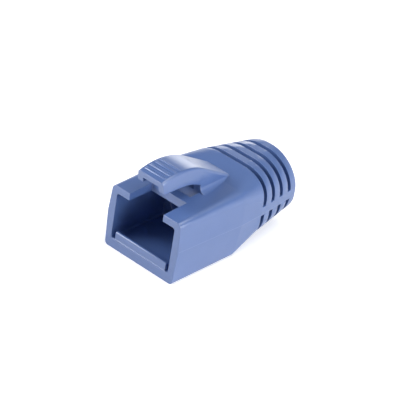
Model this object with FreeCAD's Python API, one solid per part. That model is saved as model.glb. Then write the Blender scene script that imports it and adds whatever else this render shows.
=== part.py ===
import FreeCAD, Part
import math
import os

# Strain relief boot for a shielded RJ45 plug: one flexible moulding that is pushed along
# the cable and over the back of the plug.
#
# Frame, in millimetres: X across, Y from the mouth towards the cable, Z up. The mouth lies
# in the plane Y = 0, the flat underside in Z = 0, and X = 0 halves the part.

Vec = FreeCAD.Vector
ACROSS = Vec(1, 0, 0)
REARWARD = Vec(0, 1, 0)

# ---- what the boot fits ----
PLUG_WIDTH = 11.7
PLUG_HEIGHT = 6.5
PLUG_SIDE_CLEARANCE = 0.15
PLUG_TOP_CLEARANCE = 0.05
CABLE_DIAMETER = 7.8
CABLE_CLEARANCE = 0.1

# ---- walls ----
SIDE_WALL = 1.1
FLOOR_WALL = 1.7
ROOF_WALL = 1.2
SLEEVE_WALL = 1.0

# ---- box that holds the plug ----
BOX_LENGTH = 13.85
BARREL = 0.3
ROOF_DRAFT = 0.05
BOX_RISE = 0.8
BOX_SPREAD = 0.35
CAVITY_DEPTH = 11.5
CAVITY_CORNER = 0.4
STOP_LEDGE = 0.4
LEAD_IN_LENGTH = 3.0
LEAD_IN_RADIUS = 5.2

# ---- lip that snaps behind the plug's lower edge ----
LIP_HEIGHT = 1.3
LIP_THICKNESS = 0.6
LIP_SETBACK = 0.12
LIP_END_GAP = 0.7
LIP_EDGE_RADIUS = 0.25

# ---- opening in the roof for the plug's latch ----
NOTCH_HALF_WIDTH = 3.5
NOTCH_DEPTH = 5.0
BRIDGE_WIDTH = 1.6
WINDOW_HALF_WIDTH = 2.75
WINDOW_LENGTH = 1.9

# ---- hood that guards the latch ----
HOOD_CREST_Y = 4.0
HOOD_CREST_RISE = 5.55
HOOD_CREST_RADIUS = 12.5
HOOD_SLOPE_ANGLE = 27.0
HOOD_OVERHANG = 0.1
HOOD_HALF_WIDTH = 2.55
HOOD_DRAFT_ANGLE = 7.0
HOOD_ROOF = 1.1
HOOD_SKIRT_WALL = 0.95
HOOD_SKIRT_DEPTH = 2.6
HOOD_FRONT_SETBACK = 0.35
HOOD_EDGE_RADIUS = 0.5
ROOT_FILLET_AT_GAP = 1.0
ROOT_FILLET_AT_BOX_END = 0.5
ROOT_FILLET_AT_TIP = 0.12
CHANNEL_BEHIND_WINDOW = 2.0

# ---- grip ribs across the hood ----
RIB_COUNT = 4
RIB_PITCH = 1.05
RIB_RADIUS = 0.3
RIB_HEIGHT = 0.1
RIB_FIRST = 0.9
RIB_SIDE_MARGIN = 0.45

# ---- tail that bends with the cable ----
TAIL_AXIS_HEIGHT = 6.5
SHOULDER_LENGTH = 5.1
SHOULDER_HALF_WIDTH = 7.45
SHOULDER_HALF_HEIGHT = 5.85
TAIL_END_HALF_WIDTH = 6.38
TAIL_END_HALF_HEIGHT = 5.65
SLOT_COUNT = 4
SLOT_PITCH = 2.29
SLOT_WIDTH = 0.85
SPINE_HEIGHT = 1.55
END_RING = 1.65
END_BEVEL = 0.25

# ---- corners of the outside, as reach across the level face and reach up the side ----
MOUTH_LOW_CORNER = (0.7, 0.7)
MOUTH_HIGH_CORNER = (0.8, 0.8)
BOX_END_LOW_CORNER = (0.9, 0.9)
BOX_END_HIGH_CORNER = (1.8, 1.8)
SHOULDER_CORNER = (5.0, 4.0)
TAIL_END_LOW_CORNER = (6.0, 5.0)
TAIL_END_HIGH_CORNER = (6.0, 5.4)
SQUARE_FULLNESS = 0.6
ROUND_FULLNESS = 0.52

# ---- mould and cutting ----
PARTING_HEIGHT = 6.0
UNDERSIDE_TRIM = 0.02
OVERRUN = 1.0

# ---- sizes that follow ----
CAVITY_HALF_WIDTH = PLUG_WIDTH / 2 + PLUG_SIDE_CLEARANCE
CAVITY_CEILING = FLOOR_WALL + LIP_HEIGHT + PLUG_HEIGHT + PLUG_TOP_CLEARANCE
MOUTH_HALF_WIDTH = CAVITY_HALF_WIDTH + SIDE_WALL
MOUTH_HEIGHT = CAVITY_CEILING + ROOF_WALL
BOX_END_HEIGHT = MOUTH_HEIGHT + BOX_RISE
BORE_RADIUS = CABLE_DIAMETER / 2 + CABLE_CLEARANCE
SLEEVE_RADIUS = BORE_RADIUS + SLEEVE_WALL
LEAD_IN_END = CAVITY_DEPTH + LEAD_IN_LENGTH
FIRST_SLOT = BOX_LENGTH + SHOULDER_LENGTH
LAST_SLOT_END = FIRST_SLOT + (SLOT_COUNT - 1) * SLOT_PITCH + SLOT_WIDTH
LENGTH = LAST_SLOT_END + END_RING
WINDOW_FRONT = NOTCH_DEPTH + BRIDGE_WIDTH
WINDOW_REAR = WINDOW_FRONT + WINDOW_LENGTH
CREST_HEIGHT = MOUTH_HEIGHT + HOOD_CREST_RISE
CREST_CENTRE = CREST_HEIGHT - HOOD_CREST_RADIUS
SKIRT_EDGE_HEIGHT = CREST_HEIGHT - HOOD_SKIRT_DEPTH
CHANNEL_HALF_WIDTH = HOOD_HALF_WIDTH - HOOD_SKIRT_WALL
HOOD_DRAFT = math.radians(HOOD_DRAFT_ANGLE)
HOOD_SLOPE = math.radians(HOOD_SLOPE_ANGLE)
BURIED_HEIGHT = MOUTH_HEIGHT - ROOF_WALL / 2


# ---- helpers ----

def bezier(points):
    curve = Part.BezierCurve()
    curve.setPoles(points)
    return curve.toShape()


def polyline(points):
    return Part.makePolygon(points).Edges


def flipped(point):
    return Vec(-point.x, point.y, point.z)


def mirrored(edges):
    """Edges of the left half, in the order that carries on round the outline."""
    return [edge.mirror(Vec(0, 0, 0), ACROSS) for edge in reversed(edges)]


def plate(outline, half_width):
    """Solid as wide on both sides of X = 0, from an outline in the YZ plane."""
    face = Part.Face(Part.Wire(outline))
    face.translate(ACROSS * -half_width)
    return face.extrude(ACROSS * 2 * half_width)


def block(half_width, y0, y1, z0, z1):
    return Part.makeBox(2 * half_width, y1 - y0, z1 - z0, Vec(-half_width, y0, z0))


def tube_along_cable(radius, start, end):
    return Part.makeCylinder(radius, end - start, Vec(0, start, TAIL_AXIS_HEIGHT), REARWARD)


# ---- outside ----

def corner(tip, level, side_end, reach, fullness):
    """Poles of a soft corner at a tip, from the level face round to the drafted side."""
    across, up = reach
    side = side_end - tip
    side.normalize()
    start = tip + level * across
    end = tip + side * up
    return [start, start + (tip - start) * fullness, end + (tip - end) * fullness, end]


def section(y, low, high, half_widths, low_corner, high_corner, fullness):
    """Outline square to the cable, drafted both ways from the waist at the parting height."""
    base, waist, crown = half_widths
    middle = Vec(waist, y, PARTING_HEIGHT)
    lower = corner(Vec(base, y, low), -ACROSS, middle, low_corner, fullness)
    upper = corner(Vec(crown, y, high), -ACROSS, middle, high_corner, fullness)
    upper.reverse()
    right = [bezier(lower), *polyline([lower[-1], middle, upper[0]]), bezier(upper)]
    top = polyline([upper[-1], flipped(upper[-1])])
    underside = polyline([flipped(lower[0]), lower[0]])
    return Part.Wire(underside + right + top + mirrored(right))


def mouth_section():
    half = MOUTH_HALF_WIDTH
    half_widths = (half, half + BARREL, half - ROOF_DRAFT)
    return section(0, -UNDERSIDE_TRIM, MOUTH_HEIGHT, half_widths,
                   MOUTH_LOW_CORNER, MOUTH_HIGH_CORNER, SQUARE_FULLNESS)


def box_end_section():
    spread = MOUTH_HALF_WIDTH + BOX_SPREAD
    half_widths = (MOUTH_HALF_WIDTH, spread + BARREL, spread)
    return section(BOX_LENGTH, -UNDERSIDE_TRIM, BOX_END_HEIGHT, half_widths,
                   BOX_END_LOW_CORNER, BOX_END_HIGH_CORNER, SQUARE_FULLNESS)


def oval_section(y, half_width, half_height, low_corner, high_corner, fullness):
    return section(y, TAIL_AXIS_HEIGHT - half_height, TAIL_AXIS_HEIGHT + half_height,
                   [half_width] * 3, low_corner, high_corner, fullness)


def outside():
    """Box that flares a little towards the cable, and the tail that rounds off from it.

    The box is made a trace too deep and trimmed, which leaves a true flat to stand on.
    """
    shoulder = oval_section(FIRST_SLOT, SHOULDER_HALF_WIDTH, SHOULDER_HALF_HEIGHT,
                            SHOULDER_CORNER, SHOULDER_CORNER, SQUARE_FULLNESS)
    bevel = oval_section(LENGTH - END_BEVEL, TAIL_END_HALF_WIDTH, TAIL_END_HALF_HEIGHT,
                         TAIL_END_LOW_CORNER, TAIL_END_HIGH_CORNER, ROUND_FULLNESS)
    end = bevel.copy()
    shrink = 1 - END_BEVEL / TAIL_END_HALF_WIDTH
    end.scale(shrink, Vec(0, LENGTH - END_BEVEL, TAIL_AXIS_HEIGHT))
    end.translate(REARWARD * END_BEVEL)
    skin = Part.makeLoft([mouth_section(), box_end_section(), shoulder, bevel, end], True, True)
    return skin.cut(block(SHOULDER_HALF_WIDTH + OVERRUN, -OVERRUN, FIRST_SLOT, -OVERRUN, 0))


# ---- hood ----

def crest_point(radius, angle):
    """Point on an arc about the hood's crest centre; the angle runs rearward from upright."""
    return Vec(0, HOOD_CREST_Y + radius * math.sin(angle), CREST_CENTRE + radius * math.cos(angle))


def crest_angle(radius, y):
    return math.asin((y - HOOD_CREST_Y) / radius)


def arc_on_crest(radius, start, end):
    points = [crest_point(radius, angle) for angle in (start, (start + end) / 2, end)]
    return Part.Arc(*points).toShape()


def hood_strip():
    """Strip with soft upper edges, swept over the crest and on down the straight slope."""
    depth = CREST_HEIGHT - BURIED_HEIGHT
    lean = math.tan(HOOD_DRAFT)
    r = HOOD_EDGE_RADIUS
    turn = math.pi / 2 + HOOD_DRAFT
    inset = r * math.tan((math.pi - turn) / 2)
    centre = Vec(HOOD_HALF_WIDTH - inset, HOOD_CREST_Y, CREST_HEIGHT - r)
    start = centre + Vec(0, 0, r)
    middle = centre + Vec(math.cos(math.pi / 4), 0, math.sin(math.pi / 4)) * r
    end = centre + Vec(math.cos(HOOD_DRAFT), 0, math.sin(HOOD_DRAFT)) * r
    foot = Vec(HOOD_HALF_WIDTH + depth * lean, HOOD_CREST_Y, CREST_HEIGHT - depth)
    right = [*polyline([foot, end]), Part.Arc(end, middle, start).toShape()]
    top = polyline([start, flipped(start)])
    bottom = polyline([flipped(foot), foot])
    upright = Part.Face(Part.Wire(bottom + right + top + mirrored(right)))
    axis_point = Vec(0, HOOD_CREST_Y, CREST_CENTRE)
    front_angle = math.degrees(crest_angle(HOOD_CREST_RADIUS, -OVERRUN))
    front = upright.rotated(axis_point, ACROSS, -front_angle)
    rear = upright.rotated(axis_point, ACROSS, -HOOD_SLOPE_ANGLE)
    arch = front.revolve(axis_point, ACROSS, front_angle - HOOD_SLOPE_ANGLE)
    downhill = Vec(0, math.cos(HOOD_SLOPE), -math.sin(HOOD_SLOPE))
    return arch.fuse(rear.extrude(downhill * LENGTH))


def hood_side_view():
    """Outline that trims the strip: leaning front, level skirt, then the arch of the gap."""
    skirt_radius = HOOD_CREST_RADIUS - HOOD_SKIRT_DEPTH
    gap_angle = crest_angle(skirt_radius, WINDOW_REAR)
    front = crest_point(HOOD_CREST_RADIUS, crest_angle(HOOD_CREST_RADIUS, -HOOD_OVERHANG))
    skirt_front = Vec(0, HOOD_FRONT_SETBACK, SKIRT_EDGE_HEIGHT)
    skirt_bend = Vec(0, HOOD_CREST_Y, SKIRT_EDGE_HEIGHT)
    gap_end = crest_point(skirt_radius, gap_angle)
    gap_foot = Vec(0, WINDOW_REAR, BURIED_HEIGHT)
    far_foot = Vec(0, LENGTH, BURIED_HEIGHT)
    above = Vec(0, 0, HOOD_CREST_RISE)
    lines = polyline([gap_end, gap_foot, far_foot, far_foot + above * 2, front + above, front,
                      skirt_front, skirt_bend])
    return lines + [arc_on_crest(skirt_radius, 0, gap_angle)]


def hood_channel():
    """Space under the hood's roof, between the skirts, where the latch moves."""
    radius = HOOD_CREST_RADIUS - HOOD_ROOF
    rear = WINDOW_REAR + CHANNEL_BEHIND_WINDOW
    start = crest_angle(radius, -OVERRUN)
    end = crest_angle(radius, rear)
    walls = polyline([crest_point(radius, end), Vec(0, rear, BURIED_HEIGHT),
                      Vec(0, -OVERRUN, BURIED_HEIGHT), crest_point(radius, start)])
    return plate([arc_on_crest(radius, start, end), *walls], CHANNEL_HALF_WIDTH)


def grip_rib(index):
    """Half-round rib across the hood, sunk so that only its height stands out."""
    angle = crest_angle(HOOD_CREST_RADIUS, RIB_FIRST + index * RIB_PITCH)
    axis = crest_point(HOOD_CREST_RADIUS + RIB_HEIGHT - RIB_RADIUS, angle)
    half = HOOD_HALF_WIDTH - RIB_SIDE_MARGIN
    return Part.makeCylinder(RIB_RADIUS, 2 * half, axis - ACROSS * half, ACROSS)


def slope_height(y):
    """Height of the hood's straight slope at a distance from the mouth."""
    top = crest_point(HOOD_CREST_RADIUS, HOOD_SLOPE)
    return top.z - (y - top.y) * math.tan(HOOD_SLOPE)


def slope_side(y, z):
    """Point on the drafted right side of the hood, below its straight slope."""
    depth = (slope_height(y) - z) * math.cos(HOOD_SLOPE)
    return Vec(HOOD_HALF_WIDTH + depth * math.tan(HOOD_DRAFT), y, z)


def root_profile(y, roof, reach):
    """Fillet between the roof and the hood's right side, closed off inside the walls."""
    tip = slope_side(y, roof)
    rise = slope_side(y, roof + reach) - tip
    rise.normalize()
    foot = tip + ACROSS * reach
    wall = tip + rise * reach
    half_angle = ACROSS.getAngle(rise) / 2
    outward = (ACROSS + rise).normalize()
    middle = tip + outward * reach * (1 / math.cos(half_angle) - math.tan(half_angle))
    inner = HOOD_HALF_WIDTH - HOOD_SKIRT_WALL / 2
    rest = polyline([wall, Vec(inner, y, wall.z), Vec(inner, y, BURIED_HEIGHT),
                     Vec(foot.x, y, BURIED_HEIGHT), foot])
    return Part.Wire([Part.Arc(foot, middle, wall).toShape(), *rest])


def hood_root():
    """Fillets at the hood's feet, largest beside the gap and sinking away at the crease."""
    gap_roof = MOUTH_HEIGHT + BOX_RISE * WINDOW_REAR / BOX_LENGTH
    pitch = (TAIL_AXIS_HEIGHT + SHOULDER_HALF_HEIGHT - BOX_END_HEIGHT) / SHOULDER_LENGTH
    edge_drop = HOOD_EDGE_RADIUS * (1 - math.sqrt(0.5)) / math.cos(HOOD_SLOPE)
    edge_above = slope_height(BOX_LENGTH) - edge_drop - BOX_END_HEIGHT
    run = edge_above / (math.tan(HOOD_SLOPE) + pitch)
    tip_roof = BOX_END_HEIGHT + pitch * run - ROOT_FILLET_AT_TIP
    profiles = [root_profile(WINDOW_REAR, gap_roof, ROOT_FILLET_AT_GAP),
                root_profile(BOX_LENGTH, BOX_END_HEIGHT, ROOT_FILLET_AT_BOX_END),
                root_profile(BOX_LENGTH + run, tip_roof, ROOT_FILLET_AT_TIP)]
    right = Part.makeLoft(profiles, True, True)
    return [right, right.mirror(Vec(0, 0, 0), ACROSS)]


def hood():
    strip = hood_strip().common(plate(hood_side_view(), MOUTH_HALF_WIDTH))
    ribs = [grip_rib(i) for i in range(RIB_COUNT)]
    return strip.cut(hood_channel()).fuse([*ribs, *hood_root()])


# ---- inside ----

def cavity():
    """Pocket for the plug, a ledge that stops it, and the lead-in to the cable's bore."""
    pocket = block(CAVITY_HALF_WIDTH, -OVERRUN, CAVITY_DEPTH, FLOOR_WALL, CAVITY_CEILING)
    long_edges = [edge for edge in pocket.Edges if edge.BoundBox.YLength > CAVITY_DEPTH]
    pocket = pocket.makeFillet(CAVITY_CORNER, long_edges)
    start = Vec(0, CAVITY_DEPTH, TAIL_AXIS_HEIGHT)
    cone = Part.makeCone(LEAD_IN_RADIUS, BORE_RADIUS, LEAD_IN_LENGTH, start, REARWARD)
    lead_in = cone.common(block(LEAD_IN_RADIUS, CAVITY_DEPTH, LEAD_IN_END,
                                FLOOR_WALL + STOP_LEDGE, TAIL_AXIS_HEIGHT + BORE_RADIUS))
    return pocket.fuse([lead_in, tube_along_cable(BORE_RADIUS, CAVITY_DEPTH, LENGTH + OVERRUN)])


def lip():
    """Low wall across the floor just inside the mouth, clear of both sides."""
    half = CAVITY_HALF_WIDTH - LIP_END_GAP
    top = FLOOR_WALL + LIP_HEIGHT
    bar = block(half, LIP_SETBACK, LIP_SETBACK + LIP_THICKNESS, FLOOR_WALL / 2, top)
    long_edges = [edge for edge in bar.Edges
                  if edge.BoundBox.ZMin > FLOOR_WALL and edge.BoundBox.XLength > half]
    return bar.makeFillet(LIP_EDGE_RADIUS, long_edges)


def roof_opening(half_width, start, end):
    """Cut through the roof that stops short of the hood's skirts."""
    top = (BOX_END_HEIGHT + SKIRT_EDGE_HEIGHT) / 2
    return block(half_width, start, end, CAVITY_CEILING - OVERRUN, top)


# ---- slots ----

def slot(index):
    """Ring-shaped cut down to the sleeve, stopped at a spine on each side."""
    start = FIRST_SLOT + index * SLOT_PITCH
    end = start + SLOT_WIDTH
    reach = SHOULDER_HALF_WIDTH + OVERRUN
    ring = block(reach, start, end, -OVERRUN, TAIL_AXIS_HEIGHT + reach)
    spines = block(reach, start, end, TAIL_AXIS_HEIGHT - SPINE_HEIGHT / 2,
                   TAIL_AXIS_HEIGHT + SPINE_HEIGHT / 2)
    return ring.cut([tube_along_cable(SLEEVE_RADIUS, start, end), spines])


def boot():
    openings = [roof_opening(NOTCH_HALF_WIDTH, -OVERRUN, NOTCH_DEPTH),
                roof_opening(WINDOW_HALF_WIDTH, WINDOW_FRONT, WINDOW_REAR)]
    slots = [slot(i) for i in range(SLOT_COUNT)]
    solid = outside().fuse(hood())
    solid = solid.cut([cavity(), *openings, *slots])
    return solid.fuse(lip()).removeSplitter()


os.makedirs("parts", exist_ok=True)
boot().Solids[0].exportStep("parts/boot.step")
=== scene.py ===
import math

import bpy
from mathutils import Matrix, Vector


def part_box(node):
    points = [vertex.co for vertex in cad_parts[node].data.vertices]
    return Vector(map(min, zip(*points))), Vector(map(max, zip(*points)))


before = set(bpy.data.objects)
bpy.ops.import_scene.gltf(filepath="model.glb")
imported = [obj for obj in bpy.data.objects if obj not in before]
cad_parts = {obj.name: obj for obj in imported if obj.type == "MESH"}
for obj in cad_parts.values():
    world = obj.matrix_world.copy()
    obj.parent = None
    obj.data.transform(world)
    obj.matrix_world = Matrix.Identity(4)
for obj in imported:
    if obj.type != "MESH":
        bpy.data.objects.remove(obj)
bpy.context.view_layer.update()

# ---- places taken from the frame, in metres ----
LOW, HIGH = (Vector(corner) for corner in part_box("boot"))
LENGTH = HIGH.y - LOW.y

# ---- camera ----
CAMERA_AZIMUTH = 37.79
CAMERA_ELEVATION = 30.88
CAMERA_ROLL = 9.53
CAMERA_DISTANCE = 0.3475
CAMERA_LENS = 201.9
CAMERA_SENSOR = 36.0
AIM = Vector((0.0, 0.014, 0.005))
AIM_RIGHT = -0.00062
AIM_UP = 0.00132

# ---- light: name, azimuth, elevation, distance, size, watts ----
LAMPS = (
    ("front", -48, 27, 0.5, 0.35, 2.25),
    ("side", 95, 17, 0.5, 0.35, 2.0),
    ("top", 120, 72, 0.5, 0.4, 1.3),
    ("back", -147, 8, 0.5, 0.2, 0.25),
)
WORLD_DIFFUSE = 0.10
CEILING = 0.2
CEILING_STARTS = 0.20
CEILING_FULL = 0.42
FLOOR_SPAN = 40 * LENGTH
FLOOR_COLOUR = (0.86, 0.86, 0.87, 1)
FLOOR_LIFT = 0.45
WHITE = (1, 1, 1, 1)

# ---- soft edges, angles in degrees ----
WELD_DISTANCE = 0.000002
EDGE_WIDTH = 0.00011
EDGE_ANGLE = 52.0
EDGE_SEGMENTS = 3
CRISP_ANGLE = 34.0
FACE_WEIGHT = 80

# ---- moulded plastic ----
PLASTIC = (0.092, 0.164, 0.392, 1.0)
PLASTIC_DARK = (0.077, 0.143, 0.353, 1.0)
# painted highlight: lighter blue laid along the parting line, and how strongly it is mixed in
PARTING_HIGHLIGHT_COLOUR = (0.18, 0.26, 0.52, 1.0)
PARTING_HEIGHT = 0.006
PARTING_HALF_WIDTH = 0.00009
PARTING_FROM_X = 0.00605
PARTING_FROM_Y = 0.0002
PARTING_HIGHLIGHT_TINT = 0.35
ROUGHNESS = (0.26, 0.36)
PLASTIC_IOR = 1.8
# noises: scale, detail, roughness
MOTTLING = (350, 3, 0.5)
SPARK = (9000, 4, 0.6)
FLOW = (160, 2, 0.4)
# bumps: strength, distance
FINE_BUMP = (0.25, 0.00002)
BROAD_BUMP = (0.3, 0.0001)
FLASH_BUMP = (0.5, 0.00003)


def direction(azimuth, elevation):
    """Unit vector from the part towards a viewer or lamp at an azimuth and elevation."""
    a, e = math.radians(azimuth), math.radians(elevation)
    return Vector((math.sin(a) * math.cos(e), -math.cos(a) * math.cos(e), math.sin(e)))


def make_camera():
    """The photo's viewing angle, with the roll that it has."""
    back = direction(CAMERA_AZIMUTH, CAMERA_ELEVATION)
    right = Vector((0, 0, 1)).cross(back).normalized()
    up = back.cross(right)
    roll = math.radians(CAMERA_ROLL)
    rolled_right = right * math.cos(roll) + up * math.sin(roll)
    rolled_up = up * math.cos(roll) - right * math.sin(roll)
    data = bpy.data.cameras.new("camera")
    data.lens = CAMERA_LENS
    data.sensor_width = CAMERA_SENSOR
    data.clip_start = 0.01
    camera = bpy.data.objects.new("camera", data)
    bpy.context.collection.objects.link(camera)
    place = AIM + rolled_right * AIM_RIGHT + rolled_up * AIM_UP + back * CAMERA_DISTANCE
    turn = Matrix((rolled_right, rolled_up, back)).transposed().to_4x4()
    camera.matrix_world = Matrix.Translation(place) @ turn
    bpy.context.scene.camera = camera


def area_light(name, azimuth, elevation, distance, size, watts):
    """Round soft lamp that faces the part."""
    data = bpy.data.lights.new(name, "AREA")
    data.shape = "DISK"
    data.size = size
    data.energy = watts
    lamp = bpy.data.objects.new(name, data)
    bpy.context.collection.objects.link(lamp)
    towards = direction(azimuth, elevation)
    lamp.location = AIM + towards * distance
    lamp.rotation_euler = towards.to_track_quat("Z", "Y").to_euler()


def is_seen(tree):
    """1 for what the camera, a reflection or clear material sees, 0 for light on the part."""
    path = tree.nodes.new("ShaderNodeLightPath")
    seen = path.outputs["Is Camera Ray"]
    for ray in ("Is Glossy Ray", "Is Transmission Ray"):
        either = tree.nodes.new("ShaderNodeMath")
        either.operation = "MAXIMUM"
        tree.links.new(seen, either.inputs[0])
        tree.links.new(path.outputs[ray], either.inputs[1])
        seen = either.outputs[0]
    return seen


def make_world():
    """White at the horizon and dark overhead, where rays of view and reflection see it."""
    world = bpy.data.worlds.new("studio")
    world.use_nodes = True
    tree = world.node_tree
    background = tree.nodes["Background"]
    background.inputs["Color"].default_value = WHITE
    place = tree.nodes.new("ShaderNodeTexCoord")
    split = tree.nodes.new("ShaderNodeSeparateXYZ")
    tree.links.new(place.outputs["Generated"], split.inputs["Vector"])
    height = tree.nodes.new("ShaderNodeMapRange")
    height.interpolation_type = "SMOOTHSTEP"
    height.inputs["From Min"].default_value = CEILING_STARTS
    height.inputs["From Max"].default_value = CEILING_FULL
    height.inputs["To Min"].default_value = 1.0
    height.inputs["To Max"].default_value = CEILING
    tree.links.new(split.outputs["Z"], height.inputs["Value"])
    strength = tree.nodes.new("ShaderNodeMix")
    strength.data_type = "FLOAT"
    strength.inputs["A"].default_value = WORLD_DIFFUSE
    tree.links.new(height.outputs["Result"], strength.inputs["B"])
    tree.links.new(is_seen(tree), strength.inputs["Factor"])
    tree.links.new(strength.outputs["Result"], background.inputs["Strength"])
    bpy.context.scene.world = world


def make_floor():
    """Pale floor that looks white to the eye and keeps the shadow."""
    bpy.ops.mesh.primitive_plane_add(size=FLOOR_SPAN, location=(0, 0, LOW.z))
    floor = bpy.context.object
    floor.name = "floor"
    material = bpy.data.materials.new("floor")
    material.use_nodes = True
    tree = material.node_tree
    shader = tree.nodes["Principled BSDF"]
    shader.inputs["Base Color"].default_value = FLOOR_COLOUR
    shader.inputs["Roughness"].default_value = 0.9
    shader.inputs["Specular IOR Level"].default_value = 0.1
    shader.inputs["Emission Color"].default_value = WHITE
    lift = tree.nodes.new("ShaderNodeMath")
    lift.operation = "MULTIPLY"
    lift.inputs[1].default_value = FLOOR_LIFT
    tree.links.new(is_seen(tree), lift.inputs[0])
    tree.links.new(lift.outputs[0], shader.inputs["Emission Strength"])
    floor.data.materials.append(material)


def moulded_plastic():
    """Slate-blue flexible plastic: faint mottling, fine spark texture, flow waviness, and a
    parting-line ridge with a painted highlight.
    """
    material = bpy.data.materials.new("boot_plastic")
    material.use_nodes = True
    tree = material.node_tree
    nodes, links = tree.nodes, tree.links
    shader = nodes["Principled BSDF"]
    place = nodes.new("ShaderNodeTexCoord")

    def noise(scale, detail, roughness):
        node = nodes.new("ShaderNodeTexNoise")
        node.inputs["Scale"].default_value = scale
        node.inputs["Detail"].default_value = detail
        node.inputs["Roughness"].default_value = roughness
        links.new(place.outputs["Object"], node.inputs["Vector"])
        return node.outputs["Fac"]

    mottling = noise(*MOTTLING)
    spark = noise(*SPARK)
    flow = noise(*FLOW)

    def maths(operation, first, second=None):
        node = nodes.new("ShaderNodeMath")
        node.operation = operation
        for socket, value in zip(node.inputs, (first, second)):
            if isinstance(value, (int, float)):
                socket.default_value = value
            elif value is not None:
                links.new(value, socket)
        return node.outputs[0]

    def mix(factor, a, b):
        node = nodes.new("ShaderNodeMix")
        node.data_type = "RGBA"
        links.new(factor, node.inputs["Factor"])
        for socket, value in ((node.inputs["A"], a), (node.inputs["B"], b)):
            if isinstance(value, tuple):
                socket.default_value = value
            else:
                links.new(value, socket)
        return node.outputs["Result"]

    split = nodes.new("ShaderNodeSeparateXYZ")
    links.new(place.outputs["Object"], split.inputs["Vector"])
    # band along the parting line on the sides: it shapes the real ridge bump and the painted
    # highlight
    off_line = maths("ABSOLUTE", maths("SUBTRACT", split.outputs["Z"], PARTING_HEIGHT))
    ridge = nodes.new("ShaderNodeMapRange")
    ridge.interpolation_type = "SMOOTHSTEP"
    ridge.inputs["From Max"].default_value = PARTING_HALF_WIDTH
    ridge.inputs["To Min"].default_value = 1.0
    ridge.inputs["To Max"].default_value = 0.0
    links.new(off_line, ridge.inputs["Value"])
    outside = maths("GREATER_THAN", maths("ABSOLUTE", split.outputs["X"]), PARTING_FROM_X)
    behind = maths("GREATER_THAN", split.outputs["Y"], PARTING_FROM_Y)
    parting_ridge_and_highlight = maths("MULTIPLY", ridge.outputs["Result"], maths("MULTIPLY", outside, behind))

    colour = mix(mottling, PLASTIC_DARK, PLASTIC)
    # painted highlight: the base colour is lightened along the parting line; the bump below
    # gives the real ridge
    parting_highlight = maths("MULTIPLY", parting_ridge_and_highlight, PARTING_HIGHLIGHT_TINT)
    links.new(mix(parting_highlight, colour, PARTING_HIGHLIGHT_COLOUR), shader.inputs["Base Color"])

    gloss = nodes.new("ShaderNodeMapRange")
    gloss.inputs["To Min"].default_value = ROUGHNESS[0]
    gloss.inputs["To Max"].default_value = ROUGHNESS[1]
    links.new(flow, gloss.inputs["Value"])
    links.new(gloss.outputs["Result"], shader.inputs["Roughness"])

    under = None
    bumps = ((spark, FINE_BUMP), (flow, BROAD_BUMP), (parting_ridge_and_highlight, FLASH_BUMP))
    for height, (strength, distance) in bumps:
        bump = nodes.new("ShaderNodeBump")
        bump.inputs["Strength"].default_value = strength
        bump.inputs["Distance"].default_value = distance
        links.new(height, bump.inputs["Height"])
        if under:
            links.new(under, bump.inputs["Normal"])
        under = bump.outputs["Normal"]
    links.new(under, shader.inputs["Normal"])

    shader.inputs["IOR"].default_value = PLASTIC_IOR
    return material


def dress_boot():
    """The moulding in its plastic, with each sharp edge rounded as the mould leaves it."""
    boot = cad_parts["boot"]
    plastic = moulded_plastic()
    for slot in boot.material_slots:
        slot.material = plastic
    weld = boot.modifiers.new("joined_faces", "WELD")
    weld.merge_threshold = WELD_DISTANCE
    edges = boot.modifiers.new("soft_edges", "BEVEL")
    edges.offset_type = "WIDTH"
    edges.width = EDGE_WIDTH
    edges.segments = EDGE_SEGMENTS
    edges.limit_method = "ANGLE"
    edges.angle_limit = math.radians(EDGE_ANGLE)
    edges.use_clamp_overlap = False
    edges.loop_slide = False
    split = boot.modifiers.new("crisp_edges", "EDGE_SPLIT")
    split.split_angle = math.radians(CRISP_ANGLE)
    shading = boot.modifiers.new("level_faces", "WEIGHTED_NORMAL")
    shading.mode = "FACE_AREA_WITH_ANGLE"
    shading.weight = FACE_WEIGHT
    shading.keep_sharp = True


make_camera()
make_world()
make_floor()
for lamp in LAMPS:
    area_light(*lamp)
dress_boot()
bpy.context.scene.view_settings.view_transform = "Standard"
